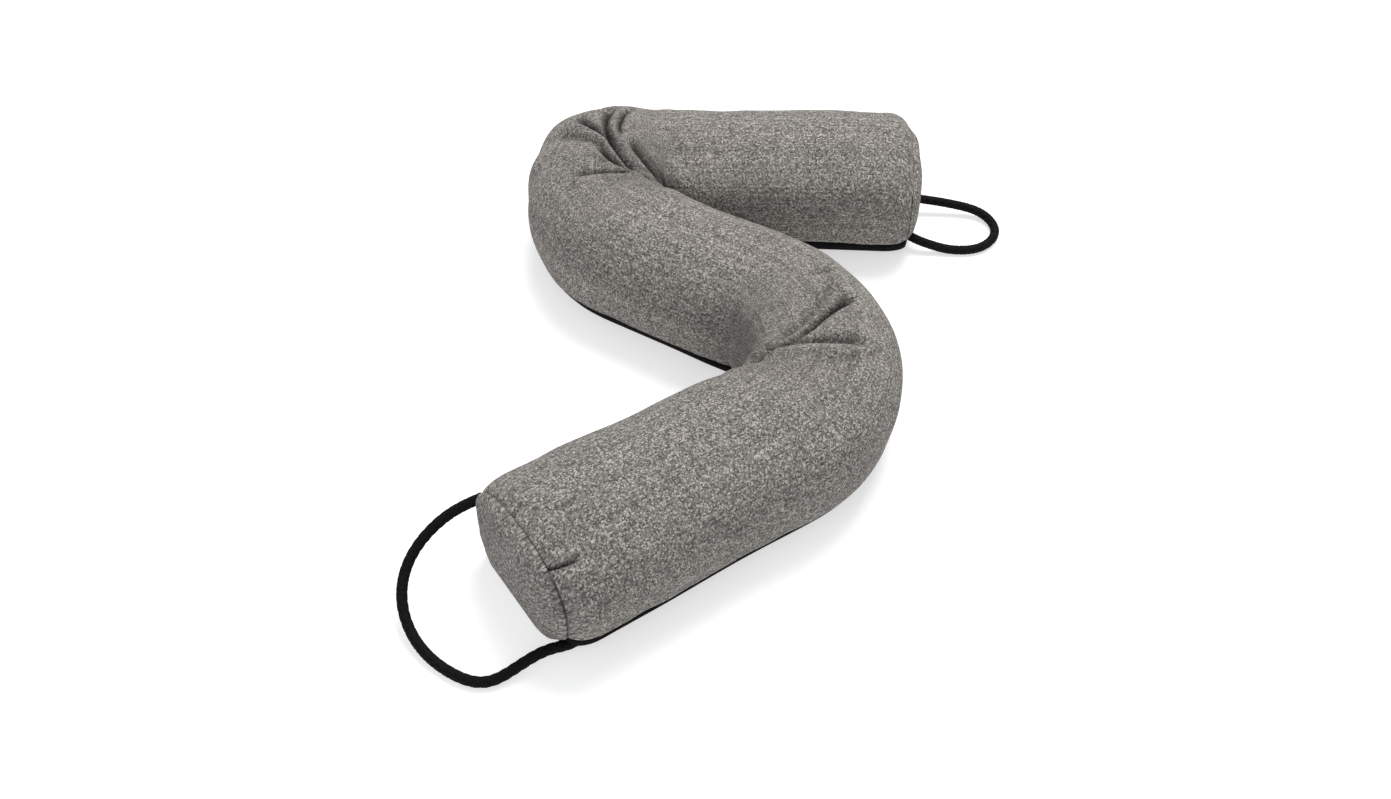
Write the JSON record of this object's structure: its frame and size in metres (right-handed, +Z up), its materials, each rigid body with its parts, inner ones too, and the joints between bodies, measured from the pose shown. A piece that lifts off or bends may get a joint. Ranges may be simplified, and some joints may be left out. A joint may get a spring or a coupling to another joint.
{
  "type": "draught excluder",
  "caption": "Weighted draught excluder: a filled tube of grey linen-look cloth on a black base strip, with round end caps and a black cord loop at each end, lying folded in a zigzag.",
  "frame": {"origin": "middle of the tube's box on the floor plane, the cord loops left out", "axes": "+Z up; +Y away from the viewer of the picture, from the front end to the back end; +X to the viewer's right"},
  "size_m": [0.3726, 0.4308, 0.0814],
  "materials": {
    "cloth": "matte",
    "base_cloth": "matte",
    "cord": "matte"
  },
  "bodies": {
    "root": {"cover": "cloth", "end_panel_back": "cloth", "end_panel_front": "cloth", "base_panel": "base_cloth", "loop_back": "cord", "loop_front": "cord"}
  },
  "joints": []
}
